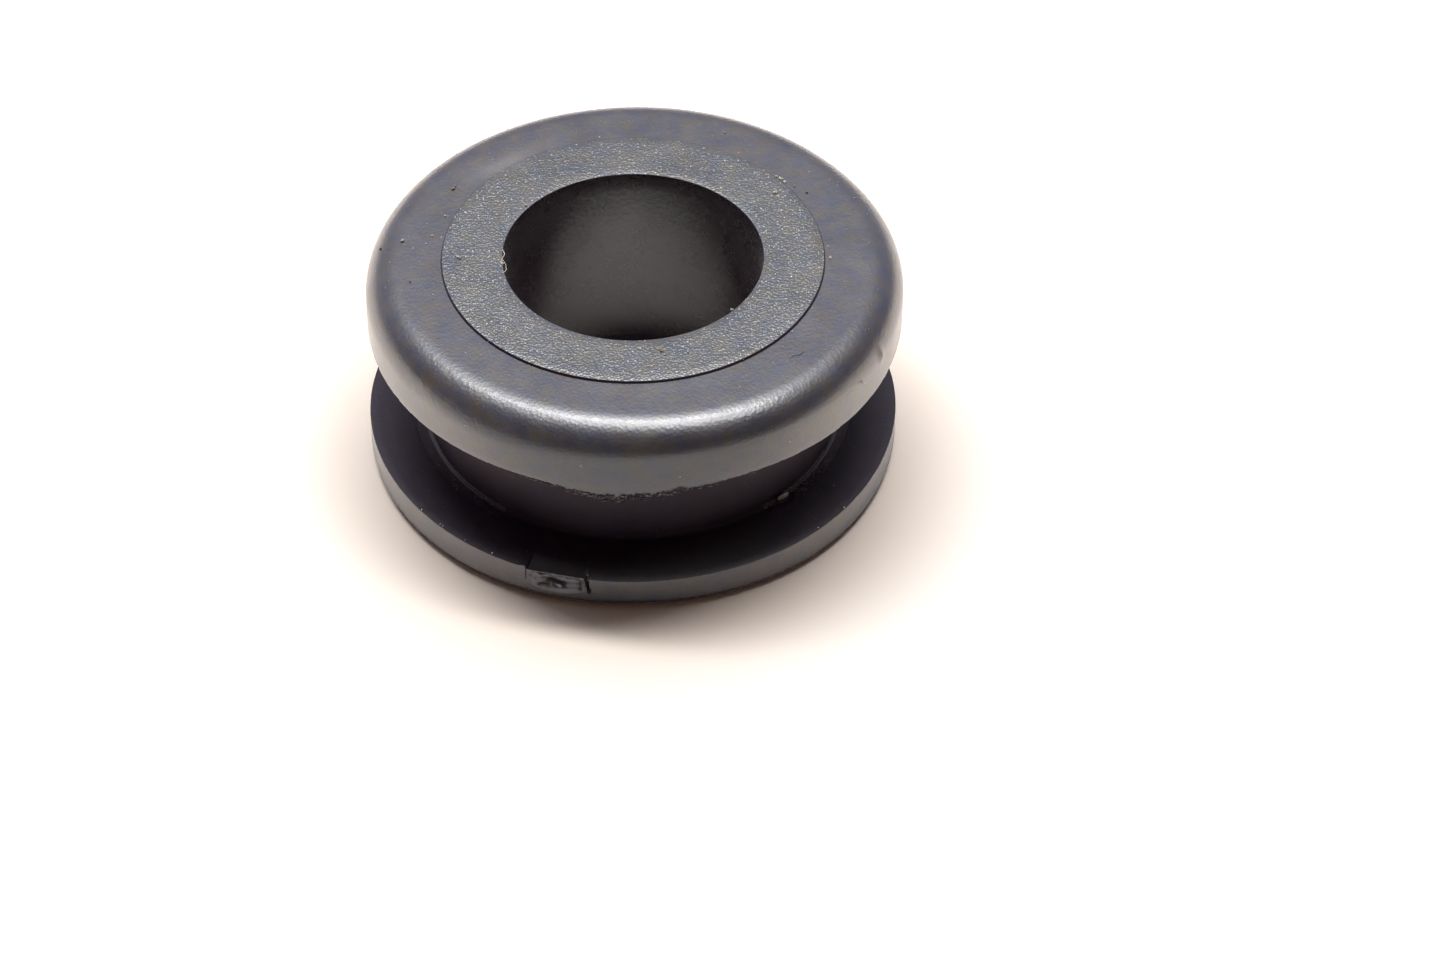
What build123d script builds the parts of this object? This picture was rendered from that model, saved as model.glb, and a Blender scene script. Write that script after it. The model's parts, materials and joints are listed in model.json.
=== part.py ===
from build123d import *
import os
from math import radians, tan

# Rubber tank mount, moulded in one piece: a round grommet with a thick rounded flange at the top,
# a thinner square-edged flange at the bottom, a neck between them that sits in a hole of a bracket,
# and a straight bore for a peg or sleeve.
# Frame: millimetres, origin at the middle of the face it stands on, +Z up along the bore.

# Driving sizes
flange_diameter = 30.0
upper_flange_thickness = 3.85
lower_flange_thickness = 2.15
neck_diameter = 23.4
groove_width = 6.6
bore_diameter = 14.5

# Raised land round each end of the bore, which takes the pressure of a washer
land_diameter = 21.4
land_height = 0.15
land_edge_run = 0.04

# Rounds and draft that the mould leaves
upper_edge_radius = 2.0
lower_edge_radius = 0.5
neck_fillet_radius = 0.25
groove_draft_angle = 1.0

# Scar where the gate was trimmed off the lower flange's side, and the nick at its end
gate_angle = -106.9
gate_width = 3.7
gate_height = 1.4
gate_depth = 0.22
nick_width = 0.35
nick_height = 1.1
nick_depth = 0.5

# Worked-out radii, and half widths counted from the groove's middle plane
flange_radius = flange_diameter / 2
neck_radius = neck_diameter / 2
bore_radius = bore_diameter / 2
land_radius = land_diameter / 2
groove_face = groove_width / 2
mouth_face = groove_face + (flange_radius - neck_radius) * tan(radians(groove_draft_angle))

# Worked-out heights over the face that the mount stands on
groove_middle = land_height + lower_flange_thickness + groove_face
overall_height = groove_middle + groove_face + upper_flange_thickness + land_height


def corner(radius, height):
    """A point of the half section, in the plane through the bore's axis."""
    return Vector(radius, 0, height)


def half_section(flange_thickness, edge_radius):
    """Half section on one side of the groove's middle plane: neck, groove face, flange with its edge, and land."""
    flange_face = groove_face + flange_thickness
    land_face = flange_face + land_height
    neck_root = corner(neck_radius, groove_face)
    flange_edge = corner(flange_radius, flange_face)
    outline = Polyline(
        corner(bore_radius, 0),
        corner(neck_radius, 0),
        neck_root,
        corner(flange_radius, mouth_face),
        flange_edge,
        corner(land_radius, flange_face),
        corner(land_radius - land_edge_run, land_face),
        corner(bore_radius, land_face),
        close=True,
    )
    section = make_face(outline)
    rounds = [
        (neck_root, neck_fillet_radius),
        (flange_edge, edge_radius),
    ]
    for place, radius in rounds:
        section = fillet(section.vertices().sort_by_distance(place)[0], radius)
    return section


def moulded_body():
    """Both half sections joined, turned once round the bore's axis, and stood on the lower land."""
    upper = half_section(upper_flange_thickness, upper_edge_radius)
    lower = half_section(lower_flange_thickness, lower_edge_radius)
    section = upper + mirror(lower, about=Plane.XY)
    return Pos(0, 0, groove_middle) * revolve(section, axis=Axis.Z)


def rim_block(along, width, height, depth, top):
    """A block that bites into the flange's side at the gate: width along the rim, depth in from it, hung from top."""
    block = Box(2 * depth, width, height, align=(Align.CENTER, Align.CENTER, Align.MAX))
    return Rot(0, 0, gate_angle) * Pos(flange_radius, along, top) * block


def gate_scar():
    """What the trimming took away: a flat facet below the parting corner, and a nick at its right-hand end."""
    parting_corner = groove_middle - groove_face
    facet = rim_block(0, gate_width, gate_height, gate_depth, parting_corner)
    nick_place = (gate_width - nick_width) / 2
    nick = rim_block(nick_place, nick_width, nick_height, nick_depth, parting_corner)
    return facet + nick


tank_mount = moulded_body() - gate_scar()
tank_mount.label = "tank_mount"
tank_mount.color = Color(0.02, 0.02, 0.025)

os.makedirs("parts", exist_ok=True)
export_step(tank_mount, "parts/tank_mount.step")
print("overall height", round(overall_height, 3), "volume", round(tank_mount.volume, 1))
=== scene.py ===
# %% [markdown]
# # A rubber tank mount
#
# The object is one black rubber moulding: a thick flange with a rolled edge at the top, a
# thinner flange at the bottom, a neck between them that sits in the hole of a bracket, and a
# straight bore for a peg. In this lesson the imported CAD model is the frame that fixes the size
# and the place. We work out a finer skin over it, give it the finish of moulded rubber, and
# light it on a pale table.

# %% Load the frame
import json
import bpy
import numpy as np
from mathutils import Matrix, Vector


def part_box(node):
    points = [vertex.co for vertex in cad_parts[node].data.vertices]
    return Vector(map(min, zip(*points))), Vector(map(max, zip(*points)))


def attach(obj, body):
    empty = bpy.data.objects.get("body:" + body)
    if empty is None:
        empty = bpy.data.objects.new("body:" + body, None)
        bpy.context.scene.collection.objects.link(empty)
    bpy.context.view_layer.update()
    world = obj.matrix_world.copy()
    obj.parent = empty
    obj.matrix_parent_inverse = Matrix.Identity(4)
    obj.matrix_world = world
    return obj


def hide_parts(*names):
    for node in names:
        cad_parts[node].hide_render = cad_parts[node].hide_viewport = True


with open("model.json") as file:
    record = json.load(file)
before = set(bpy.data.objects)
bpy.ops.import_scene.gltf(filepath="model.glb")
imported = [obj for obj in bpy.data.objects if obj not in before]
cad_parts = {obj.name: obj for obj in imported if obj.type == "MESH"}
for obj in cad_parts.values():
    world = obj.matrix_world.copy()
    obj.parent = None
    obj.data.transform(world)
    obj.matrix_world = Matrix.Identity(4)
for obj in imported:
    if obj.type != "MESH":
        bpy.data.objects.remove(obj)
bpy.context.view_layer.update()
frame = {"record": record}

# %% [markdown]
# ## Sizes
#
# Three sizes are read from the frame: the flange's radius and the overall height from the box,
# and the bore's radius from the record's mount. The others are stated here in millimetres. All
# the mesh work is done in millimetres, and the last step of each piece turns it to metres.

# %% Driving sizes
MM = 0.001
low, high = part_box("tank_mount")
flange_radius = (high[0] - low[0]) / 2 / MM
overall_height = (high[2] - low[2]) / MM
bore_mount = next(m for m in frame["record"]["mounts"] if m["name"] == "bore")
bore_radius = bore_mount["dims"]["r_mm"]
neck_radius = 11.7
land_radius = 10.7
land_height = 0.15
land_edge_run = 0.04
groove_width = 6.6
groove_draft = np.radians(1.0)
upper_edge_radius = 2.0
lower_thickness = 2.15
lower_edge_radius = 0.5
neck_fillet_radius = 0.25
top_face = overall_height - land_height
middle = land_height + lower_thickness + groove_width / 2
upper_thickness = top_face - middle - groove_width / 2
print("flange radius", flange_radius, "height", overall_height, "bore radius", bore_radius)

# %% [markdown]
# ## The section
#
# A moulding like this is a body of revolution, so its shape is one closed outline turned round
# the bore's axis. A lathe modifier could do the turning, but then every fault of the real thing,
# such as the torn flash and the trimmed gate, would have to be sculpted by hand. So the outline
# is worked out as points, and the faults are added later as functions of place.
#
# The mould is split at the two corners of the groove, and its plates meet the core pin at the
# bore's rims. Rubber fills such joints sharply: those corners get a round of only a few
# hundredths of a millimetre. The outer edges of the flanges are cut into the plates with a
# round-nosed tool: the thick upper flange has a wide round, and the thin lower one a small one.

# %% Stretches of an outline
def line(start, end, count):
    """Points on a straight line: start + t (end - start), with t from 0 to just under 1."""
    t = np.linspace(0, 1, count, endpoint=False)[:, None]
    return np.array(start) + t * (np.array(end) - np.array(start))


def arc(centre, radius, begin, finish, count):
    """Points on an arc: centre + radius (cos a, sin a), a in degrees from begin to just before finish."""
    a = np.radians(np.linspace(begin, finish, count, endpoint=False))
    return np.array(centre) + radius * np.stack([np.cos(a), np.sin(a)], 1)


# %% [markdown]
# ## Half a section
#
# Each half starts in the bore, goes over the land and the flange, and ends on the neck. The two
# halves differ only in the flange's thickness and in its edge's radius, so one function makes
# both. It also names the zone of each point: the mould's parts had different surfaces, and the
# zone later decides which finish a face gets.

# %% Half a section, radius against height over the groove's middle plane
SHUT_OFF_ROUND = 0.04
groove_face = groove_width / 2
rise = np.tan(groove_draft)
mouth = groove_face + (flange_radius - neck_radius) * rise
fillet_centre = (
    neck_radius + neck_fillet_radius,
    groove_face + neck_fillet_radius * rise - neck_fillet_radius / np.cos(groove_draft),
)
face_normal = np.array([-np.sin(groove_draft), np.cos(groove_draft)])
fillet_start = np.array(fillet_centre) + neck_fillet_radius * face_normal


def half_section(thickness, edge_radius, roll_count, side_count):
    """Up the bore, over land and flange, down the side and along the groove face to the neck."""
    e = SHUT_OFF_ROUND
    face = groove_face + thickness
    land = face + land_height
    land_rim = land_radius - land_edge_run
    roll_centre = (flange_radius - edge_radius, face - edge_radius)
    stretches = [
        ("bore", line((bore_radius, 0), (bore_radius, land - e), 6)),
        ("rim", arc((bore_radius + e, land - e), e, 180, 90, 3)),
        ("land", line((bore_radius + e, land), (land_rim - e, land), 6)),
        ("rim", arc((land_rim - e, land - e), e, 90, 0, 3)),
        ("rim", line((land_rim, land - e), (land_radius, face), 2)),
        ("flange", line((land_radius, face), (roll_centre[0], face), 6)),
        ("flange", arc(roll_centre, edge_radius, 90, 0, roll_count)),
        ("flange", line((flange_radius, roll_centre[1]), (flange_radius, mouth + e), side_count)),
        ("flange", arc((flange_radius - e, mouth + e), e, 0, -90, 3)),
        ("groove", line((flange_radius - e, mouth), fillet_start, 6)),
        ("fillet", arc(fillet_centre, neck_fillet_radius, 91, 180, 4)),
        ("groove", line((neck_radius, fillet_centre[1]), (neck_radius, 0), 3)),
    ]
    points = np.concatenate([points for _, points in stretches])
    return points, [zone for zone, points in stretches for _ in points]


upper, upper_zone = half_section(upper_thickness, upper_edge_radius, 16, 8)
lower, lower_zone = half_section(lower_thickness, lower_edge_radius, 6, 18)
print("points on each half:", len(upper), len(lower))

# %% The whole outline: the upper half, then the lower one turned over and run backwards
turn_point = np.array([[neck_radius, 0.0]])
outline = np.concatenate([upper, turn_point, lower[:0:-1] * (1, -1)])
outline[:, 1] += middle
zones = np.array(upper_zone + ["groove"] + lower_zone[:0:-1])
print("points on the outline:", len(outline), "thicknesses:", round(upper_thickness, 2), lower_thickness)

# %% [markdown]
# ## Round the axis
#
# The angles aren't evenly spaced. The scar of the trimmed gate needs steps of a twentieth of a
# millimetre with a line of points exactly on each of its ends, while the rest is smooth and
# does with steps of a sixth.

# %% Angles of the grid, in degrees from +X
GATE_START, GATE_END = -113.6, -99.6
NICK_START = -100.8
SHARP_STEP = 0.04


def stretch_of_angles(start, end, step):
    """Even angles from start to just before end, at most one step apart."""
    return np.linspace(start, end, int(np.ceil((end - start) / step)), endpoint=False)


angles = np.concatenate([
    stretch_of_angles(-126, GATE_START - SHARP_STEP, 0.3),
    stretch_of_angles(GATE_START - SHARP_STEP, NICK_START - SHARP_STEP, 0.2),
    stretch_of_angles(NICK_START - SHARP_STEP, GATE_END + SHARP_STEP, 0.15),
    stretch_of_angles(GATE_END + SHARP_STEP, -66, 0.3),
    stretch_of_angles(-66, 234, 0.62),
])
print("columns round the axis:", len(angles), "faces:", len(angles) * len(outline))

# %% [markdown]
# ## Noise that closes on itself
#
# Ragged edges and slow waves need random numbers that give the same result each run. A sum of
# sines with seeded phases does it, and whole cycles round the axis make it close on itself.

# %% Seeded waves
def waves(degrees, cycles, seed, falloff=0.5):
    """Sum over c of c^-falloff sin(c angle + phase), divided by its own standard deviation."""
    rng = np.random.default_rng(seed)
    angle = np.radians(np.asarray(degrees))[..., None]
    counts = np.asarray(cycles)
    phase = rng.uniform(0, 2 * np.pi, len(counts))
    total = (np.sin(angle * counts + phase) * counts ** -falloff).sum(-1)
    return total / np.sqrt((counts ** (-2 * falloff)).sum() / 2)


def bell(degrees, centre, width):
    """1 at centre and falling off as exp(-(distance / width)^2), with the distance taken round the circle."""
    away = (np.asarray(degrees) - centre + 180) % 360 - 180
    return np.exp(-((away / width) ** 2))


# %% [markdown]
# ## The skin
#
# Each point of the outline is carried round at each angle: x = r cos a, y = r sin a, z = h. The
# faults of the real rubber then change r and h, as functions of place. The first is that the
# flanges are a few hundredths of a millimetre out of round, as rubber is once it has left the
# mould. Slow waves round the axis give that, and they fade to nothing at the neck.

# %% Carry the outline round
OUT_OF_ROUND, WARP = 0.035, 0.02
A, R = np.meshgrid(angles, outline[:, 0], indexing="ij")
H = np.broadcast_to(outline[:, 1], A.shape).copy()
rim_share = np.clip((R - neck_radius) / (flange_radius - neck_radius), 0, 1)
R = R + OUT_OF_ROUND * rim_share * waves(A, np.arange(2, 7), 11)
H = H + WARP * rim_share * waves(A, np.arange(1, 5), 12) * (H > middle)
print("largest radius in millimetres:", round(float(R.max()), 3))

# %% [markdown]
# ## The rolled edge
#
# The upper flange's edge mirrors the lamp as a bright band. Where the band is wide, the roll is
# wide too: the photograph shows a slightly larger radius at the near left and a smaller one at
# the near right. A bevel has one radius all round, so here the radius is a function of the angle.
# Where it grows, the roll's centre moves in and down by as much, and the outside stays in place.
# A small lump of stray rubber sticks to the roll at the right.

# %% The roll's radius
roll_height = top_face - upper_edge_radius
roll_start = flange_radius - upper_edge_radius
roll_out = np.clip((R - roll_start) / upper_edge_radius, 0, 1)
roll_up = np.clip((H - roll_height) / upper_edge_radius, 0, 1)
on_roll = (H > roll_height - 1e-6) & (R > roll_start - 0.1)
NEAR_LEFT, NEAR_RIGHT = -130, -62
change = 0.1 * bell(A, NEAR_LEFT, 25) - 0.28 * bell(A, NEAR_RIGHT, 34)
R = R + on_roll * change * (roll_out - 1)
H = H + on_roll * change * (roll_up - 1)
roll_radii = upper_edge_radius + np.array([change.min(), change.max()])
print("radius of the roll, least and most:", roll_radii.round(2))

# %% The lump: its angle, its drop below the top face and how far it stands out
LUMP_ANGLE, LUMP_DROP, LUMP_SIZE = -26, 1.7, 0.14
lump = bell(A, LUMP_ANGLE, 0.9) * np.exp(-((H - (top_face - LUMP_DROP)) / 0.4) ** 2)
R = R + LUMP_SIZE * lump * (R > flange_radius - 0.6)

# %% [markdown]
# ## Flash
#
# Where the mould's plates part, at the lower corner of the upper flange, rubber was pressed
# between them and left a thin skin, called flash. It hangs down from the corner, deepest above
# the gate, where the pressure was highest. The corner's points are moved down by the droop times
# a ragged noise of many short waves. The lower flange's top corner has only a fine burr, and its
# face sags a little on the near side.

# %% Flash below the upper flange's corner
upper_corner = middle + mouth
near_corner = np.exp(-((H - upper_corner) / 0.1) ** 2) * (R > flange_radius - 0.3) * (H > middle)
OVER_GATE, RIGHT_OF_GATE = -95.5, -78
droop = 0.6 * bell(angles, OVER_GATE, 11.5) + 0.2 * bell(angles, RIGHT_OF_GATE, 11)
ragged = 0.75 + 0.3 * np.abs(waves(angles, np.arange(60, 420, 7), 21, 0.3))
fringe = droop * ragged + 0.018 * np.abs(waves(angles, np.arange(80, 500, 11), 22, 0.2))
pulled_in = 0.01 * np.abs(waves(angles, np.arange(90, 500, 9), 23, 0.2))
H = H - near_corner * fringe[:, None]
R = R - near_corner * pulled_in[:, None]
print("deepest flash in millimetres:", round(float(fringe.max()), 2))

# %% Burr and sag of the lower flange's top corner
lower_corner = middle - mouth
SAG, SAG_DEPTH, SAG_ANGLE = 0.25, 1.2, -84
near_corner = np.exp(-((H - lower_corner) / 0.05) ** 2) * (R > flange_radius - 0.2) * (H < middle)
burr = 0.012 * np.abs(waves(angles, np.arange(80, 500, 11), 24, 0.2))
H = H + near_corner * (burr + 0.1 * bell(angles, GATE_START - 0.5, 0.8))[:, None]
top_share = np.clip(1 - (lower_corner - H) / SAG_DEPTH, 0, 1) * (H < middle) * rim_share ** 2
H = H - SAG * top_share * bell(A, SAG_ANGLE, 34)
print("height of the lower flange's corner:", round(lower_corner, 2))

# %% [markdown]
# ## The trimmed gate
#
# Rubber flowed into the mould through a gate at the lower flange's side, and the gate was then
# trimmed off with a blade. That left a flat facet with torn pits and a ledge, and a slanted nick
# at its right-hand end. A boolean cut would leave long thin faces. Here the grid has a line of
# points on each end of the scar, and r is cut back to a plane: depth / cos(angle from its middle).

# %% Places on the gate: along the rim, and below the flange's top corner
GATE_DEPTH, GATE_HEIGHT = 0.2, 1.38
NICK_DEPTH, NICK_HEIGHT = 0.5, 1.2
turn = np.radians(A - (GATE_START + GATE_END) / 2)
across = np.clip((A - GATE_START) / (GATE_END - GATE_START), 0, 1)
along = R * np.sin(turn)
below = lower_corner - H
on_side = (H < middle) & (R > flange_radius - 1)

# %% Torn pits: each is a place, a half size and a depth in millimetres
PITS = [
    ((-0.35, 0.80), (0.34, 0.12), 0.34),
    ((0.12, 0.95), (0.30, 0.13), 0.38),
    ((-0.75, 1.12), (0.36, 0.07), 0.20),
    ((-0.95, 0.42), (0.30, 0.08), 0.10),
    ((0.60, 0.45), (0.50, 0.07), 0.07),
    ((1.30, 0.80), (0.14, 0.25), 0.12),
]


def pit(place, size, depth):
    """A torn pit: depth exp(-((along - a) / w)^2 - ((below - b) / h)^2), w and h being its half sizes."""
    return depth * np.exp(-((along - place[0]) / size[0]) ** 2 - ((below - place[1]) / size[1]) ** 2)


pits = sum(pit(*one) for one in PITS)
torn = 0.016 * waves(A, np.arange(130, 700, 23), 31, 0.2) * np.sin(7 * below + 2)
print("torn pits:", len(PITS))

# %% Cut the facet and the nick
ledge = 0.06 * np.exp(-((below - 1.3) / 0.06) ** 2) * (0.4 + 0.6 * across)
taper = np.clip((GATE_HEIGHT - below) / 0.5, 0, 1)
facet = flange_radius - GATE_DEPTH * (0.75 + 0.25 * across) * taper - pits - torn * taper - ledge
in_gate = (A >= GATE_START) & (A <= GATE_END) & (below < GATE_HEIGHT) & on_side
nick_middle = NICK_START + 0.4 + 0.7 * below / NICK_HEIGHT
in_nick = (np.abs(A - nick_middle) < 0.42 - 0.1 * below) & (below < NICK_HEIGHT) & on_side
rough_side = 0.06 * waves(H / overall_height * 360, np.arange(5, 40, 3), 32, 0.3)
nick = flange_radius - NICK_DEPTH - rough_side
cut = np.where(in_nick, nick, facet) / np.where(in_nick, 1.0, np.cos(turn))
lip = 0.24 * (1 - across) ** 0.8 * (1 - below / 0.5)
H = np.where(in_gate & (below < 0.5), H - lip, H)
R = np.where(in_gate | in_nick, np.minimum(R, cut), R)
print("points moved by the gate:", int(in_gate.sum()))

# %% [markdown]
# ## Off centre
#
# The bore and the land come from the core pin, and each flange from its own plate. The plates of
# a mould never meet quite true. So the land and the bore lie a little to the left of the upper
# flange, and the lower flange a little more.

# %% Shifts along X in millimetres
LAND_SHIFT, LOWER_SHIFT = -0.08, -0.15
upper_share = np.clip((H - middle) / groove_face, 0, 1)
outer_share = np.clip((R - land_radius) / (flange_radius - land_radius), 0, 1)
shift = LOWER_SHIFT * (1 - upper_share) + LAND_SHIFT * upper_share * (1 - outer_share)
print("shifts from", round(float(shift.min()), 2), "to", round(float(shift.max()), 2))

# %% [markdown]
# ## A mesh from arrays
#
# The grid closes on itself both ways, like a ring of dough, so it has no pole and no seam. The
# arrays go straight into the mesh. Each face takes the finish of the zone that it lies in, and
# edges that turn by more than 35 degrees are marked sharp, so that the parting corners stay crisp.

# %% Helpers that put arrays into a mesh
def make_piece(name, vertices, faces, materials, sharp_over=None):
    """A mesh object at the origin from vertices in millimetres and an array of faces of one size."""
    mesh = bpy.data.meshes.new(name)
    mesh.from_pydata((np.asarray(vertices) * MM).tolist(), [], np.asarray(faces).tolist())
    for material in materials:
        mesh.materials.append(material)
    mesh.polygons.foreach_set("use_smooth", np.ones(len(mesh.polygons), bool))
    if sharp_over is not None:
        mesh.set_sharp_from_angle(angle=np.radians(sharp_over))
    mesh.update()
    piece = bpy.data.objects.new(name, mesh)
    bpy.context.scene.collection.objects.link(piece)
    return piece


def ring_faces(columns, rows):
    """Quads of a grid that closes both ways: the corner at column i, row j is number i rows + j."""
    i, j = np.meshgrid(np.arange(columns), np.arange(rows), indexing="ij")
    right, up = (i + 1) % columns, (j + 1) % rows
    quads = [i * rows + j, right * rows + j, right * rows + up, i * rows + up]
    return np.stack(quads, -1).reshape(-1, 4)


# %% [markdown]
# ## Colours and nodes
#
# A material is a small tree of nodes. Colours are written as the hex codes of a paint program,
# which are sRGB, and one function turns them to the linear values that a shader takes. Another
# function adds any node with its settings and its links, so each material reads as a list.

# %% Helpers for materials
def linear(code):
    """An sRGB hex colour as linear red, green, blue and alpha: ((c + 0.055) / 1.055)^2.4 over the toe."""
    c = np.array([int(code[i:i + 2], 16) for i in (1, 3, 5)]) / 255
    rgb = np.where(c <= 0.04045, c / 12.92, ((c + 0.055) / 1.055) ** 2.4)
    return (*rgb.tolist(), 1.0)


def add_node(tree, kind, settings=None, inputs=None):
    """Adds a node, sets its properties, and sets each input from a value or links it from a socket."""
    node = tree.nodes.new(kind)
    for key, value in (settings or {}).items():
        setattr(node, key, value)
    for key, value in (inputs or {}).items():
        if isinstance(value, bpy.types.NodeSocket):
            tree.links.new(value, node.inputs[key])
        else:
            node.inputs[key].default_value = value
    return node


def new_material(name):
    """An empty node material with its output, as (material, tree, output)."""
    material = bpy.data.materials.new(name)
    material.use_nodes = True
    tree = material.node_tree
    tree.nodes.clear()
    return material, tree, add_node(tree, "ShaderNodeOutputMaterial")


print("satin rubber's cool tone, linear:", [round(c, 3) for c in linear("#3a3f57")[:3]])

# %% [markdown]
# ## Dust on the rubber
#
# Handled rubber is never clean. A thin film of talc and dust lies in patches a few millimetres
# wide, and single specks of about a tenth of a millimetre lie on it. Real objects could carry
# them all, but thousands of specks are cheaper as a pattern: a noise for the film, and chosen
# cells of a Voronoi pattern for the specks. The haze comes from an attribute of the mesh.

# %% A share of dust from 0 to 1
FILM_PATCH, SPECK_SPACING = 2.2, 0.4


def film_pattern(tree, place):
    """Patches a few millimetres wide, from 0 to 1."""
    settings = {"Vector": place, "Scale": 1 / (FILM_PATCH * MM), "Detail": 6.0, "Roughness": 0.7}
    return add_node(tree, "ShaderNodeTexNoise", inputs=settings).outputs["Fac"]


def dust_pattern(tree, place, film, dust_share):
    """The larger of the film's share and the specks' share, plus the mesh's own dust attribute."""
    film_share = add_node(
        tree, "ShaderNodeMapRange",
        inputs={"Value": film, "From Min": 0.4, "From Max": 0.75, "To Min": 0.0, "To Max": dust_share},
    ).outputs["Result"]
    specks = add_node(
        tree, "ShaderNodeTexVoronoi", {"feature": "F1"},
        {"Vector": place, "Scale": 1 / (SPECK_SPACING * MM), "Randomness": 1.0},
    ).outputs
    near_speck = add_node(
        tree, "ShaderNodeMapRange",
        inputs={
            "Value": specks["Distance"], "From Min": 0.05, "From Max": 0.13, "To Min": 0.3, "To Max": 0.0,
        },
    ).outputs["Result"]
    chance = add_node(tree, "ShaderNodeSeparateXYZ", inputs={"Vector": specks["Color"]}).outputs["X"]
    few = add_node(tree, "ShaderNodeMath", {"operation": "GREATER_THAN"}, {0: chance, 1: 0.72})
    speck = add_node(
        tree, "ShaderNodeMath", {"operation": "MULTIPLY"}, {0: near_speck, 1: few.outputs["Value"]}
    )
    settled = add_node(
        tree, "ShaderNodeMath", {"operation": "MAXIMUM"}, {0: film_share, 1: speck.outputs["Value"]}
    )
    haze = add_node(tree, "ShaderNodeAttribute", {"attribute_name": "dust"}).outputs["Fac"]
    both = add_node(
        tree, "ShaderNodeMath", {"operation": "ADD", "use_clamp": True},
        {0: settled.outputs["Value"], 1: haze},
    )
    return both.outputs["Value"]


# %% [markdown]
# ## Painted glints on the grain
#
# The spark-eroded grain sparkles, because a few of its tips face the lamp. Those tips are finer
# than a pixel of the render, so their glints are painted into the base colour as light dots
# 0.13 mm apart, which is as fine as shows. More of them light up towards the left and the right,
# where the photograph sparkles most.

# %% A share of painted glint from 0 to 1
TIP_SPACING = 0.13


def painted_glint_pattern(tree, place, painted_glint_share):
    """Painted glints: chosen cells of a Voronoi pattern, random share^1.8, fading to nothing between middle
    and edge.
    """
    tips = add_node(
        tree, "ShaderNodeTexVoronoi", {"feature": "F1"},
        {"Vector": place, "Scale": 1 / (TIP_SPACING * MM), "Randomness": 1.0},
    ).outputs
    near_tip = add_node(
        tree, "ShaderNodeMapRange",
        inputs={"Value": tips["Distance"], "From Min": 0.22, "From Max": 0.4, "To Min": 1.0, "To Max": 0.0},
    ).outputs["Result"]
    random = add_node(tree, "ShaderNodeSeparateXYZ", inputs={"Vector": tips["Color"]}).outputs
    x = add_node(tree, "ShaderNodeSeparateXYZ", inputs={"Vector": place}).outputs["X"]
    sideways = add_node(tree, "ShaderNodeMath", {"operation": "ABSOLUTE"}, {0: x}).outputs["Value"]
    limit = add_node(
        tree, "ShaderNodeMapRange",
        inputs={
            "Value": sideways, "From Min": 3 * MM, "From Max": 9 * MM,
            "To Min": 1 - 0.4 * painted_glint_share, "To Max": 1 - painted_glint_share,
        },
    ).outputs["Result"]
    lit = add_node(tree, "ShaderNodeMath", {"operation": "GREATER_THAN"}, {0: random["X"], 1: limit})
    bright = add_node(tree, "ShaderNodeMath", {"operation": "POWER"}, {0: random["Y"], 1: 1.8})
    chosen = add_node(
        tree, "ShaderNodeMath", {"operation": "MULTIPLY"},
        {0: bright.outputs["Value"], 1: lit.outputs["Value"]},
    )
    painted_glint = add_node(
        tree, "ShaderNodeMath", {"operation": "MULTIPLY"}, {0: chosen.outputs["Value"], 1: near_tip}
    )
    return painted_glint.outputs["Value"]


# %% [markdown]
# ## The colour and the grain of rubber
#
# Carbon black takes nearly all the light that enters the rubber, so its own colour is close to
# black, and the greys of the photograph are mostly reflections. The little colour that is left
# wanders between a cool and a warm tone in patches under a millimetre wide. The grain is a
# height that tilts the light: craters as far apart as the mould's sparks made them, with a finer
# noise between them.

# %% Mottled colour, and the grain as bump
MOTTLE_PATCH, FINE_GRAIN = 0.9, 0.25


def mottled_colour(tree, place, colours):
    """A mix of the cool and the warm colour by a noise."""
    mottle = add_node(
        tree, "ShaderNodeTexNoise",
        inputs={"Vector": place, "Scale": 1 / (MOTTLE_PATCH * MM), "Detail": 5.0, "Roughness": 0.65},
    ).outputs["Fac"]
    share = add_node(
        tree, "ShaderNodeMapRange",
        inputs={"Value": mottle, "From Min": 0.35, "From Max": 0.65, "To Min": 0.0, "To Max": 1.0},
    ).outputs["Result"]
    cool, warm = colours
    mixed = add_node(
        tree, "ShaderNodeMix", {"data_type": "RGBA"}, {"Factor": share, "A": linear(cool), "B": linear(warm)}
    )
    return mixed.outputs["Result"]


def grain_bump(tree, place, grain_mm, height_mm):
    """A normal from the height: 0.6 of a fine noise, plus the distance to the nearest crater's middle."""
    fine = add_node(
        tree, "ShaderNodeTexNoise",
        inputs={"Vector": place, "Scale": 1 / (FINE_GRAIN * MM), "Detail": 3.0, "Roughness": 0.6},
    ).outputs["Fac"]
    craters = add_node(
        tree, "ShaderNodeTexVoronoi", {"feature": "F1"},
        {"Vector": place, "Scale": 1 / (grain_mm * MM), "Randomness": 1.0},
    ).outputs["Distance"]
    height = add_node(tree, "ShaderNodeMath", {"operation": "MULTIPLY_ADD"}, {0: fine, 1: 0.6, 2: craters})
    bump = add_node(
        tree, "ShaderNodeBump",
        inputs={"Height": height.outputs["Value"], "Distance": height_mm * MM, "Strength": 1.0},
    )
    return bump.outputs["Normal"]


# %% [markdown]
# ## Moulded rubber
#
# The rubber is NBR or EPDM filled with carbon black. Its shine is broad, and a bloom of wax on
# its surface adds a thin sharper one, which is the coat here. All its finishes are one function
# with other values, because they differ only in what the mould's surface printed on the rubber.

# %% Rubber
# The glint colour is a painted highlight, mixed into the base colour.
DUST_COLOUR, PAINTED_GLINT_COLOUR = "#a8a29a", "#f4f4f8"
RUBBER_IOR = 1.7


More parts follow.
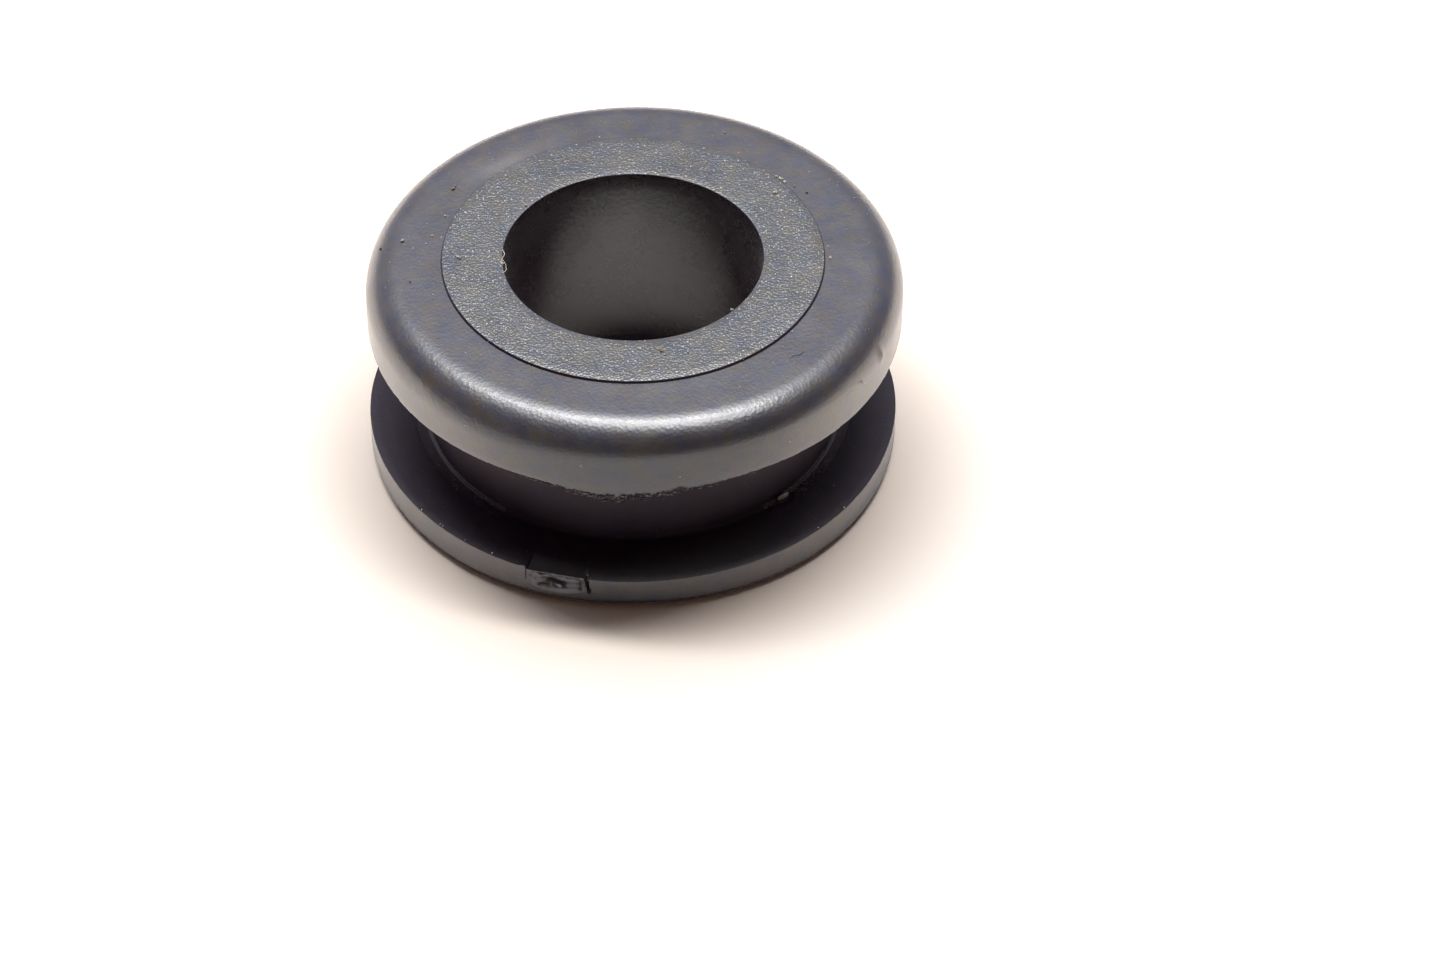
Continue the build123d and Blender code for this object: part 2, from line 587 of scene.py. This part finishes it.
def moulded_rubber(name, colours, roughness, coat, shine, grain_mm, grain_height_mm, dust_share, painted_glint_share):
    """Mottled black, then dust over it, then painted glints, with the grain as bump under a shine and a coat.
    """
    material, tree, output = new_material(name)
    place = add_node(tree, "ShaderNodeTexCoord").outputs["Object"]
    film = film_pattern(tree, place)
    dusty = add_node(
        tree, "ShaderNodeMix", {"data_type": "RGBA"},
        {
            "Factor": dust_pattern(tree, place, film, dust_share),
            "A": mottled_colour(tree, place, colours), "B": linear(DUST_COLOUR),
        },
    ).outputs["Result"]
    # Painted highlight: light dots in the base colour stand for grain tips that catch the lamp.
    with_painted_glints = add_node(
        tree, "ShaderNodeMix", {"data_type": "RGBA"},
        {"Factor": painted_glint_pattern(tree, place, painted_glint_share), "A": dusty, "B": linear(PAINTED_GLINT_COLOUR)},
    ).outputs["Result"]
    rough = add_node(
        tree, "ShaderNodeMapRange",
        inputs={
            "Value": film, "From Min": 0.3, "From Max": 0.7,
            "To Min": roughness - 0.05, "To Max": roughness + 0.05,
        },
    ).outputs["Result"]
    normal = grain_bump(tree, place, grain_mm, grain_height_mm)
    rubber = add_node(
        tree, "ShaderNodeBsdfPrincipled",
        inputs={
            "Base Color": with_painted_glints, "Roughness": rough, "Normal": normal,
            "IOR": RUBBER_IOR, "Specular IOR Level": shine,
            "Coat Weight": coat, "Coat Roughness": 0.14, "Coat Normal": normal,
            "Sheen Weight": 0.08, "Sheen Roughness": 0.4,
        },
    )
    tree.links.new(rubber.outputs["BSDF"], output.inputs["Surface"])
    return material


# %% [markdown]
# ## Four surfaces of one mould
#
# The mould's parts were finished in different ways, and the rubber copies each of them. The
# plates' flange pockets were turned and lightly blasted, which gives the rubber a satin surface
# and the lamp's band soft borders. The plates round the bore were spark-eroded: craters 0.16 mm
# apart break the shine, and painted glints add sparkles. The core pin was polished, and the bore
# is smooth and mirrors its own dark wall. The rings that form the groove are smooth too, but no
# lamp reaches in there, and it looks dull. The bore's and the groove's colours are darker and
# more purple than the flange's: painted shade, the purple cast of deep shade.

# %% The four finishes
satin_rubber = moulded_rubber(
    "nbr_rubber_satin_mould", ("#3a3f57", "#534a43"), roughness=0.4, coat=0.3, shine=0.8,
    grain_mm=0.2, grain_height_mm=0.009, dust_share=0.05, painted_glint_share=0.002,
)
eroded_rubber = moulded_rubber(
    "nbr_rubber_spark_eroded_mould", ("#464d5c", "#5c564a"), roughness=0.36, coat=0.35, shine=0.8,
    grain_mm=0.16, grain_height_mm=0.03, dust_share=0.12, painted_glint_share=0.42,
)
# Painted shade: the bore's colours are darker and more purple than the flange's.
polished_rubber_painted_shade = moulded_rubber(
    "nbr_rubber_polished_pin", ("#311d2f", "#331f29"), roughness=0.26, coat=0.1, shine=0.8,
    grain_mm=0.3, grain_height_mm=0.004, dust_share=0.02, painted_glint_share=0.0,
)
# Painted shade: the groove's colours are darker and more purple than the flange's; the rims and the front of
# the neck's round take them too.
groove_rubber_painted_shade = moulded_rubber(
    "nbr_rubber_split_ring", ("#30203a", "#31202e"), roughness=0.5, coat=0.0, shine=0.3,
    grain_mm=0.3, grain_height_mm=0.006, dust_share=0.03, painted_glint_share=0.001,
)
finishes = [satin_rubber, eroded_rubber, polished_rubber_painted_shade, groove_rubber_painted_shade]
print("nodes in each rubber:", [len(finish.node_tree.nodes) for finish in finishes])

# %% [markdown]
# ## The moulding
#
# Now the arrays become the mesh. Each face takes the finish of its zone. The thin round at the
# neck's foot is polished and shines as a light line at the left and the right. In front, where it
# lies in deep shade, it takes the groove's darker, duller finish, whose colour is painted shade,
# as the rims' is. The mesh stands for the CAD solid, which stays for contact.

# %% Body and finishes
vertices = np.stack([R * np.cos(np.radians(A)) + shift, R * np.sin(np.radians(A)), H], -1).reshape(-1, 3)
mount_body = make_piece("mount_body", vertices, ring_faces(*A.shape), finishes, sharp_over=35)
# The rims take the groove's finish, so the land's step and the small rounds look dark: painted shade in their
# colour.
finish_of_zone = {"flange": 0, "land": 1, "bore": 2, "fillet": 2, "groove": 3, "rim": 3}
row_finish = np.array([finish_of_zone[zone] for zone in zones])
# In front the neck's round takes the groove's darker finish: painted shade.
front_in_painted_shade = bell(angles, -90, 34)[:, None] > 0.3
grid_finish = np.where(front_in_painted_shade & (zones == "fillet"), finish_of_zone["groove"], row_finish)
mount_body.data.polygons.foreach_set("material_index", grid_finish.ravel().astype(np.int32))
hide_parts("tank_mount")
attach(mount_body, "root")
print("moulding:", len(mount_body.data.polygons), "quads")

# %% [markdown]
# ## A smudge of haze
#
# At the back left of the upper flange lies a long pale smudge, as a thumb leaves in dust. It has
# its own place on the piece, so it is an attribute of the mesh, which the rubber adds to its dust.

# %% Haze as an attribute: share exp(-(along / length)^2 - (across / width)^2)
HAZE_PLACE, HAZE_SIZE, HAZE_SHARE = (-7.2, 8.6), (2.3, 0.65), 0.33
lean = np.radians(38)
from_haze = vertices[:, :2] - HAZE_PLACE
haze_along = from_haze @ (np.cos(lean), np.sin(lean))
haze_across = from_haze @ (-np.sin(lean), np.cos(lean))
haze = HAZE_SHARE * np.exp(-((haze_along / HAZE_SIZE[0]) ** 2) - (haze_across / HAZE_SIZE[1]) ** 2)
haze = haze * (vertices[:, 2] > top_face - 0.3)
dust_attribute = mount_body.data.attributes.new("dust", "FLOAT", "POINT")
dust_attribute.data.foreach_set("value", haze.astype(np.float32))
print("points under the haze:", int((haze > 0.05).sum()))

# %% [markdown]
# ## One colour for dirt and for painted light
#
# Crumbs, lint and talc are far smaller than a millimetre, so a pattern on them wouldn't show. One
# colour and one roughness are enough. Some flakes of flash are pale: a painted highlight, for the
# light that the thin flash catches.

# %% Plain materials
def plain(name, colour, roughness):
    """One colour and one roughness."""
    material, tree, output = new_material(name)
    body = add_node(
        tree, "ShaderNodeBsdfPrincipled",
        inputs={"Base Color": linear(colour), "Roughness": roughness, "IOR": 1.5},
    )
    tree.links.new(body.outputs["BSDF"], output.inputs["Surface"])
    return material


# Painted highlight: a pale colour for flakes of flash that catch the light.
pale_flash_painted_highlight = plain("rubber_flash_with_talc", "#9c9688", 0.6)
pale_grit = plain("pale_mineral_grit", "#d8d2c6", 0.5)
# Painted glint: a pure white for grains that stand for sparkles and catch light in the shade.
white_grit_painted_glint = plain("white_mineral_grit", "#fbf9f4", 0.4)
brown_grit = plain("brown_mineral_grit", "#b3946c", 0.6)
dark_grit = plain("dark_rubber_crumb", "#221f1e", 0.5)
lint = plain("cotton_lint", "#eadfca", 0.6)
print("materials so far:", len(bpy.data.materials))

# %% [markdown]
# ## Small closed forms
#
# Flakes and crumbs are all small lumps. A unit ellipsoid with few faces is made once, and each
# lump is a crumpled and turned copy of it. Hundreds of copies are joined into one mesh, because
# a separate object for each would only slow the scene down.

# %% Ellipsoid and join
def ellipsoid(count_u, count_v):
    """Unit ellipsoid points and quads: (cos u sin v, sin u sin v, cos v), with a narrow ring at each pole."""
    u = np.linspace(0, 2 * np.pi, count_u, endpoint=False)
    v = np.linspace(0.12, np.pi - 0.12, count_v)
    U, V = np.meshgrid(u, v, indexing="ij")
    points = np.stack([np.cos(U) * np.sin(V), np.sin(U) * np.sin(V), np.cos(V)], -1).reshape(-1, 3)
    i, j = np.meshgrid(np.arange(count_u), np.arange(count_v - 1), indexing="ij")
    around = (i + 1) % count_u
    quads = [i * count_v + j, i * count_v + j + 1, around * count_v + j + 1, around * count_v + j]
    return points, np.stack(quads, -1).reshape(-1, 4)


def join(pieces):
    """Lists of (points, faces) as one: the faces' numbers are moved up by the points before them."""
    starts = np.cumsum([0] + [len(points) for points, _ in pieces[:-1]])
    points = np.concatenate([points for points, _ in pieces])
    return points, np.concatenate([faces + start for (_, faces), start in zip(pieces, starts)])


print("quads of a flake:", len(ellipsoid(10, 6)[1]), "and of a crumb:", len(ellipsoid(7, 4)[1]))

# %% [markdown]
# ## Tatters of flash
#
# Under the near side of the upper flange the flash is torn into small flakes. Each flake is a
# flattened ellipsoid whose upper part is sunk in the flange's corner, so that it hangs from it as
# the real one does. Three kinds hang there: clean ones, pale ones whose colour is a painted
# highlight, and dark ones between, which paint the shade in the gaps of the tears.

# %% Flakes
FLAKES_MIDDLE, FLAKES_SPREAD = -96, 10
LEAST_HALF, MORE_HALF = np.array([0.04, 0.03, 0.012]), np.array([0.17, 0.02, 0.028])


def flash_flakes(count, seed, depth_range):
    """Flakes below the corner: centre + a side + b out + c up, lower down near the gate than away from it."""
    rng = np.random.default_rng(seed)
    unit, quads = ellipsoid(10, 6)
    flakes = []
    for _ in range(count):
        degrees = rng.normal(FLAKES_MIDDLE, FLAKES_SPREAD)
        angle = np.radians(degrees)
        hang = float(np.interp(degrees, angles, fringe))
        reach = (depth_range[1] - depth_range[0]) * (0.3 + 0.7 * bell(degrees, -97, 13))
        drop = depth_range[0] + rng.random() * reach
        half = LEAST_HALF + MORE_HALF * rng.random(3)
        local = unit * (1 + 0.3 * rng.standard_normal((len(unit), 1))) * half
        local[:, 2] += rng.normal(0, 0.3) * local[:, 0]
        out = np.array([np.cos(angle), np.sin(angle), 0])
        side = np.array([-np.sin(angle), np.cos(angle), 0])
        centre = (flange_radius - half[1] + 0.012) * out + np.array([0, 0, upper_corner - hang - drop])
        turned = local[:, :1] * side + local[:, 1:2] * out + local[:, 2:] * [0, 0, 1]
        flakes.append((centre + turned, quads))
    return join(flakes)


# The pale flakes are painted highlight, and the dark tears are painted shade in the gaps.
for name, count, seed, depth_range, finish in (
    ("flash_tatters", 70, 41, (-0.02, 0.2), satin_rubber),
    ("flash_tatters_dusty", 26, 43, (0.0, 0.22), pale_flash_painted_highlight),
    ("flash_tears", 15, 42, (-0.08, 0.05), groove_rubber_painted_shade),
):
    flakes = make_piece(name, *flash_flakes(count, seed, depth_range), [finish])
    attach(flakes, "root")
    print(name, "quads:", len(flakes.data.polygons))

# %% [markdown]
# ## Crumbs
#
# Rubber holds grit by its own stickiness. The larger crumbs are placed one by one where the
# photograph shows them. Each sits on the top face, so its height follows from its place.

# %% The height of the top, and crumbs on it
def top_height(x, y):
    """The top's height over the table: the land inside its edge, the flange's face, then the rolled edge."""
    r = np.hypot(x, y)
    past = np.clip((r - roll_start) / upper_edge_radius, 0, 1)
    rolled = top_face - upper_edge_radius * (1 - np.sqrt(1 - past ** 2))
    return np.where((r < land_radius) & (r > bore_radius), overall_height, rolled)


def crumbs(places, seed):
    """Crumpled ellipsoids, each turned about its own upright axis and sunk a little into the top."""
    rng = np.random.default_rng(seed)
    unit, quads = ellipsoid(7, 4)
    heap = []
    for x, y, size in places:
        crumple = 1 + 0.22 * rng.standard_normal((len(unit), 1))
        shape = unit * crumple * size / 2 * rng.uniform([0.8, 0.6, 0.5], [1.3, 1, 0.8])
        spin = rng.uniform(0, np.pi)
        c, s = np.cos(spin), np.sin(spin)
        turned = [c * shape[:, 0] - s * shape[:, 1], s * shape[:, 0] + c * shape[:, 1], shape[:, 2]]
        heap.append((np.stack(turned, 1) + [x, y, top_height(x, y) + 0.15 * size], quads))
    return join(heap)


# %% Crumbs by colour: x and y in millimetres over the top face, size in millimetres
crumb_places = {
    "pale_crumbs": (pale_grit, [
        (-12.97, 1.61, 0.26), (-10.63, 3.79, 0.16), (-10.12, 3.52, 0.14), (-11.31, 2.03, 0.12),
        (-11.63, 1.32, 0.14), (-9.75, -0.10, 0.30), (6.03, 9.30, 0.14), (10.88, -0.19, 0.22),
        (8.56, -6.51, 0.16), (5.32, -4.60, 0.20), (-7.33, -0.66, 0.22), (-7.30, -0.40, 0.14),
        (7.98, 5.44, 0.34), (8.35, 6.90, 0.26), (8.60, 6.60, 0.20), (8.10, 7.10, 0.18),
        (11.42, -9.20, 0.16), (-2.51, -11.33, 0.12), (1.23, -7.50, 0.10), (5.27, 11.17, 0.16),
        (1.12, 10.11, 0.14), (0.25, -7.99, 0.26), (0.42, -7.85, 0.16), (2.85, -8.28, 0.20),
        (1.25, -8.05, 0.16),
    ]),
    "brown_crumbs": (brown_grit, [
        (-10.24, 6.22, 0.26), (-10.10, 6.45, 0.16), (-6.08, 4.45, 0.16), (-10.74, -6.76, 0.12),
        (9.10, 6.20, 0.20), (12.30, 4.10, 0.14), (11.90, 2.20, 0.12), (1.42, -8.15, 0.26),
        (1.60, -8.55, 0.14),
    ]),
    "dark_crumbs": (dark_grit, [
        (-14.20, 1.45, 0.16), (-12.40, -2.00, 0.12), (9.80, 5.60, 0.14),
    ]),
}
for name, (grit, places) in crumb_places.items():
    piece = make_piece(name, *crumbs(places, 51), [grit])
    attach(piece, "root")
    print(name, len(places))

# %% [markdown]
# ## Fine dust
#
# Dust under a tenth of a millimetre lies all over the top. Its places are random but seeded, so
# each run gives the same ones. A radius drawn evenly would crowd the middle, so the square of
# the radius is drawn instead, which gives each bit of area the same share.

# %% Strewn dust between the bore and the rolled edge
DUST_COUNT = 260
rng = np.random.default_rng(61)
dust_r = np.sqrt(rng.uniform((bore_radius + 0.1) ** 2, (flange_radius - 0.8) ** 2, DUST_COUNT))
dust_angle = rng.uniform(0, 2 * np.pi, DUST_COUNT)
dust_size = rng.uniform(0.03, 0.08, DUST_COUNT)
dust_places = np.stack([dust_r * np.cos(dust_angle), dust_r * np.sin(dust_angle), dust_size], 1)
fine_dust = make_piece("fine_dust", *crumbs(dust_places, 62), [pale_grit])
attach(fine_dust, "root")
print("fine dust:", len(fine_dust.data.polygons), "quads")

# %% [markdown]
# ## Fibres
#
# Lint catches on the bore's rim, and single fibres and a hair lie on the top. A curve object with
# a bevel could draw them, but as arrays they need no conversion: a ring of six points is carried
# along a smoothed path.

# %% A round profile along a path
def smooth_path(points):
    """Eight steps between each two points, averaged twice with the weights 1 2 3 2 1."""
    knots = np.array(points, float)
    t = np.linspace(0, len(knots) - 1, 8 * (len(knots) - 1) + 1)
    path = np.stack([np.interp(t, np.arange(len(knots)), knots[:, k]) for k in range(3)], 1)
    kernel = np.array([1, 2, 3, 2, 1]) / 9
    for _ in range(2):
        padded = np.pad(path, ((2, 2), (0, 0)), mode="edge")
        path = np.stack([np.convolve(padded[:, k], kernel, "valid") for k in range(3)], 1)
    return path


def fibre(points, thickness):
    """A tube: path + thickness / 2 (cos a n1 + sin a n2), with n1 and n2 across the path."""
    path = smooth_path(points)
    ahead = np.gradient(path, axis=0)
    ahead = ahead / np.linalg.norm(ahead, axis=1, keepdims=True)
    aside = np.cross(ahead, [0, 0, 1.0])
    aside = aside / np.linalg.norm(aside, axis=1, keepdims=True)
    over = np.cross(aside, ahead)
    a = np.linspace(0, 2 * np.pi, 6, endpoint=False)[:, None, None]
    ring = path + thickness / 2 * (np.cos(a) * aside + np.sin(a) * over)
    count = len(path)
    i, j = np.meshgrid(np.arange(6), np.arange(count - 1), indexing="ij")
    k = (i + 1) % 6
    quads = [i * count + j, k * count + j, k * count + j + 1, i * count + j + 1]
    return ring.reshape(-1, 3), np.stack(quads, -1).reshape(-1, 4)


# %% Lint and hair: thickness, then x, y and lift over the top, in millimetres
def on_top(x, y, lift=0.01):
    """A point just over the top face."""
    return (x, y, float(top_height(x, y)) + lift)


pale_paths = [
    (0.06, [(-8.35, 5.2), (-8.1, 5.3), (-7.8, 5.26)]),
    (0.05, [(-7.35, 0.6), (-7.2, 0.2, 0.15), (-7.35, -0.3, 0.1), (-7.4, -0.7)]),
    (0.04, [(-7.4, -0.2), (-7.15, -0.6, 0.1), (-7.1, -1.2, 0.12), (-7.35, -1.5)]),
    (0.03, [(-10.75, 3.65), (-10.62, 3.8), (-10.4, 3.84)]),
    (0.06, [(12.05, -8.95), (12.15, -8.6), (12.35, -8.5), (12.5, -8.75)]),
    (0.045, [(11.2, -9.3), (11.45, -9.5), (11.75, -9.4)]),
]
hair_path = [(8.35, -8.75), (8.6, -8.5), (8.95, -8.42), (9.15, -8.2)]
pale_fibres = join([fibre([on_top(*point) for point in path], thickness) for thickness, path in pale_paths])
dark_hair = fibre([on_top(*point) for point in hair_path], 0.03)
for name, tube, stuff in (("pale_fibres", pale_fibres, lint), ("dark_hair", dark_hair, dark_grit)):
    piece = make_piece(name, *tube, [stuff])
    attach(piece, "root")
    print(name, len(piece.data.polygons), "quads")

# %% [markdown]
# ## Grains on the lower flange, with painted glints
#
# A few white grains stand where the lower flange's top corner sparkles: their white is a painted
# glint. One larger crumb lies at the neck's foot, and its pure white is partly painted highlight,
# for the light it catches. Each is placed by its angle round the axis.

# %% Grains by angle
GRAIN_ANGLES = (-142.2, -136.0, -135.2, -128.7, -121.6, -47.0, -38.5)
FOOT_ANGLE, FOOT_HALF = -45.7, [0.46, 0.14, 0.17]


def on_lower_flange(radius, degrees, height):
    """A point at a radius and an angle round the lower flange's own axis, at a height over the table."""
    angle = np.radians(degrees)
    return np.array([radius * np.cos(angle) + LOWER_SHIFT, radius * np.sin(angle), height])


unit, quads = ellipsoid(7, 4)
grains = [
    (on_lower_flange(14.95, degrees, lower_corner + 0.03) + unit * [0.05, 0.05, 0.04], quads)
    for degrees in GRAIN_ANGLES
]
slant = np.array([[0.8, 0.6, 0], [-0.6, 0.8, 0], [0, 0, 1]])
foot = on_lower_flange(11.9, FOOT_ANGLE, middle - groove_face + 0.13)
grains.append((foot + unit * FOOT_HALF @ slant, quads))
# The grains' white is painted glint, and on the foot crumb partly painted highlight.
grain_piece = make_piece("groove_grains", *join(grains), [white_grit_painted_glint])
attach(grain_piece, "root")
print("grains:", len(grains))

# %% [markdown]
# ## The table
#
# The table is matt white laminate: a diffuse surface and nothing else. It has three jobs. To
# diffuse rays it is a white sheet that ends in front of the mount. To reflected rays it is
# brighter beside and behind the mount, as the pale table is in the rubber's shine. And the camera
# sees a tone at which the open table is white, and which is warmer near the mount, so that the
# shadow there stays warm: painted warm shade. The last two tones are over 1, so they can't be hex
# codes.

# %% What each kind of ray sees
TABLE_WHITE, TABLE_FAR = "#f4f0ea", "#4a4644"
MIRRORED_TABLE = (1.9, 1.7, 1.5, 1.0)
# Near the mount the camera's tone is warmer: painted warm shade in the shadow.
SHOWN_NEAR_PAINTED_WARM_SHADE, SHOWN_OPEN = (1.32, 1.17, 1.03, 1.0), (1.3, 1.26, 1.2, 1.0)


def table_for_light(tree, place):
    """The sheet's own colour, white up to a slanted line 36 to 51 mm in front of the mount, then dark."""
    slanted = add_node(
        tree, "ShaderNodeVectorMath", {"operation": "DOT_PRODUCT"}, {0: place, 1: (-0.42, 1.0, 0.0)}
    ).outputs["Value"]
    near = add_node(
        tree, "ShaderNodeMapRange",
        inputs={"Value": slanted, "From Min": -51 * MM, "From Max": -36 * MM, "To Min": 0.0, "To Max": 1.0},
    ).outputs["Result"]
    sheet = add_node(
        tree, "ShaderNodeMix", {"data_type": "RGBA"},
        {"Factor": near, "A": linear(TABLE_FAR), "B": linear(TABLE_WHITE)},
    )
    return sheet.outputs["Result"]


def table_in_mirror(tree, place, away, sheet, is_glossy):
    """Brighter for reflected rays, from 24 to 12 mm in front of the axis on, but not under the mount."""
    y = add_node(tree, "ShaderNodeSeparateXYZ", inputs={"Vector": place}).outputs["Y"]
    outside = add_node(
        tree, "ShaderNodeMath", {"operation": "GREATER_THAN"}, {0: away, 1: 15.5 * MM}
    ).outputs["Value"]
    behind = add_node(
        tree, "ShaderNodeMapRange",
        inputs={"Value": y, "From Min": -24 * MM, "From Max": -12 * MM, "To Min": 0.0, "To Max": outside},
    ).outputs["Result"]
    share = add_node(tree, "ShaderNodeMath", {"operation": "MULTIPLY"}, {0: is_glossy, 1: behind})
    bright = add_node(
        tree, "ShaderNodeMix", {"data_type": "RGBA"},
        {"Factor": share.outputs["Value"], "A": sheet, "B": MIRRORED_TABLE},
    )
    return bright.outputs["Result"]


def table_material():
    """Matt white laminate, with its colour chosen by the kind of ray."""
    material, tree, output = new_material("matt_white_laminate")
    ray = add_node(tree, "ShaderNodeLightPath").outputs
    place = add_node(tree, "ShaderNodeTexCoord").outputs["Object"]
    away = add_node(tree, "ShaderNodeVectorMath", {"operation": "LENGTH"}, {0: place}).outputs["Value"]
    lit = table_in_mirror(tree, place, away, table_for_light(tree, place), ray["Is Glossy Ray"])
    apart = add_node(
        tree, "ShaderNodeMapRange",
        inputs={"Value": away, "From Min": 17 * MM, "From Max": 26 * MM, "To Min": 0.0, "To Max": 1.0},
    ).outputs["Result"]
    # Painted warm shade: the tone is warmer within 17 to 26 mm of the axis.
    shown = add_node(
        tree, "ShaderNodeMix", {"data_type": "RGBA"}, {"Factor": apart, "A": SHOWN_NEAR_PAINTED_WARM_SHADE, "B": SHOWN_OPEN}
    ).outputs["Result"]
    colour = add_node(
        tree, "ShaderNodeMix", {"data_type": "RGBA"}, {"Factor": ray["Is Camera Ray"], "A": lit, "B": shown}
    ).outputs["Result"]
    matt = add_node(tree, "ShaderNodeBsdfDiffuse", inputs={"Color": colour})
    tree.links.new(matt.outputs["BSDF"], output.inputs["Surface"])
    return material


# %% A disc 0.9 m in radius, as one face
TABLE_RADIUS, TABLE_CORNERS = 900, 128
a = np.linspace(0, 2 * np.pi, TABLE_CORNERS, endpoint=False)
rim = TABLE_RADIUS * np.stack([np.cos(a), np.sin(a), np.zeros(TABLE_CORNERS)], 1)
table = make_piece("table", rim, np.arange(TABLE_CORNERS)[None, :], [table_material()])
print("table radius in millimetres:", TABLE_RADIUS)

# %% [markdown]
# ## Lamps
#
# The lamps' places were worked out from the picture: the mirror direction at each point of the
# bright band on the rolled edge leads to the lamp. It is a long strip overhead, about ten degrees
# behind the upright and slanted from the back left to the right. A broad, weaker softbox behind
# it greys the top, and casts the soft shadow in front. A third lamp shows only in the shine, where
# it lightens the roll towards its lower side, as the strip's reflector does.

# %% Rectangular lamps
def area_lamp(name, place_mm, size_mm, radiance, turn_in_plane=0.0):
    """A rectangle that faces straight down. Its power is radiance x pi x its area."""
    lamp = bpy.data.lights.new(name, "AREA")
    lamp.shape = "RECTANGLE"
    lamp.size, lamp.size_y = size_mm[0] * MM, size_mm[1] * MM
    lamp.energy = radiance * np.pi * lamp.size * lamp.size_y
    holder = bpy.data.objects.new(name, lamp)
    bpy.context.scene.collection.objects.link(holder)
    place = Matrix.Translation(Vector(place_mm) * MM)
    holder.matrix_world = place @ Matrix.Rotation(turn_in_plane, 4, "Z")
    return holder


LAMP_HEIGHT = 490
strip_left, strip_right = np.array([-265, 157, LAMP_HEIGHT]), np.array([205, 46, LAMP_HEIGHT])
strip_way = strip_right - strip_left
strip_length = float(np.linalg.norm(strip_way))
strip_turn = float(np.arctan2(strip_way[1], strip_way[0]))
area_lamp("strip_light", (strip_left + strip_right) / 2, (strip_length, 60), 20.8, strip_turn)
area_lamp("overhead_softbox", (-38, 204, LAMP_HEIGHT), (524, 290), 2.0)
reflector = area_lamp("strip_reflector", (60, -42, LAMP_HEIGHT), (440, 165), 8.5, strip_turn - 0.12)
reflector.visible_diffuse = False
print("strip:", round(strip_length), "mm long, turned by", round(float(np.degrees(strip_turn)), 1), "degrees")

# %% [markdown]
# ## The room
#
# The dark band under the bright one says that nothing bright stood on the camera's side, and the
# top mirrors a pale wall behind. So the world is a smooth step between a warm dark room in front
# and a grey wall behind. Camera rays see plain white, which is the picture's background.

# %% World
WALL_WAY = (-0.1, 0.9, 0.424)
ROOM_DARK, WALL = "#423632", "#9a9dab"


def pale_room():
    """World light by direction: a smoothstep of its dot product with the wall's direction."""
    world = bpy.data.worlds.new("pale_room")
    bpy.context.scene.world = world
    world.use_nodes = True
    tree = world.node_tree
    tree.nodes.clear()
    way = add_node(tree, "ShaderNodeTexCoord").outputs["Generated"]
    back = add_node(
        tree, "ShaderNodeVectorMath", {"operation": "DOT_PRODUCT"}, {0: way, 1: WALL_WAY}
    ).outputs["Value"]
    share = add_node(
        tree, "ShaderNodeMapRange", {"interpolation_type": "SMOOTHSTEP"},
        {"Value": back, "From Min": 0.35, "From Max": 0.75, "To Min": 0.0, "To Max": 1.0},
    ).outputs["Result"]
    tone = add_node(
        tree, "ShaderNodeMix", {"data_type": "RGBA"},
        {"Factor": share, "A": linear(ROOM_DARK), "B": linear(WALL)},
    ).outputs["Result"]
    room = add_node(tree, "ShaderNodeBackground", inputs={"Color": tone, "Strength": 1.0})
    seen = add_node(tree, "ShaderNodeBackground", inputs={"Color": linear("#ffffff"), "Strength": 1.0})
    is_camera = add_node(tree, "ShaderNodeLightPath").outputs["Is Camera Ray"]
    either = add_node(
        tree, "ShaderNodeMixShader",
        inputs={0: is_camera, 1: room.outputs["Background"], 2: seen.outputs["Background"]},
    )
    add_node(tree, "ShaderNodeOutputWorld", inputs={"Surface": either.outputs["Shader"]})


pale_room()
print("world:", bpy.context.scene.world.name)

# %% [markdown]
# ## Camera
#
# The camera was worked out from the ellipses of the photograph. It looks down at 39.5 degrees
# from 247 mm away, and the mount lies up and to the left of the picture's middle. So the camera
# is first aimed at the middle of the top face, and then turned until that point shows at its pixel.

# %% Sizes of the picture, in pixels, millimetres and degrees
PICTURE = (1445, 957)
SENSOR_WIDTH = 36.0
focal_pixels = 4433.2
elevation, roll = np.radians(39.487), np.radians(-0.496)
camera_distance = 246.996
top_middle_pixel = (634.52, 257.41)

# %% Axes of the view: right, down and ahead, turned until the top's middle shows at its pixel
toward = np.array([0, np.cos(elevation), -np.sin(elevation)])
right = np.array([1.0, 0, 0])
view_axes = np.array([right, np.cross(toward, right), toward])
pixel_way = np.array([
    (top_middle_pixel[0] - PICTURE[0] / 2) / focal_pixels,
    (top_middle_pixel[1] - PICTURE[1] / 2) / focal_pixels,
    1.0,
])
pixel_way /= np.linalg.norm(pixel_way)
to_pixel = np.array(Vector((0, 0, 1)).rotation_difference(Vector(pixel_way)).to_matrix())
axes = to_pixel @ np.array(Matrix.Rotation(roll, 3, "Z")) @ view_axes

# %% Camera
camera_data = bpy.data.cameras.new("camera")
camera_data.sensor_width = SENSOR_WIDTH
camera_data.lens = focal_pixels * SENSOR_WIDTH / PICTURE[0]
camera_data.clip_start = 0.005
camera = bpy.data.objects.new("camera", camera_data)
bpy.context.scene.collection.objects.link(camera)
camera_place = np.array([0, 0, top_face]) - camera_distance * toward
camera_turn = Matrix(np.stack([axes[0], -axes[1], -axes[2]], 1).tolist()).to_4x4()
camera.matrix_world = Matrix.Translation(Vector(camera_place) * MM) @ camera_turn
bpy.context.scene.camera = camera
print("lens in millimetres:", round(camera_data.lens, 1))

# %% [markdown]
# ## Picture settings
#
# The Standard view shows a colour as it is written.

# %% Picture settings
bpy.context.scene.view_settings.view_transform = "Standard"
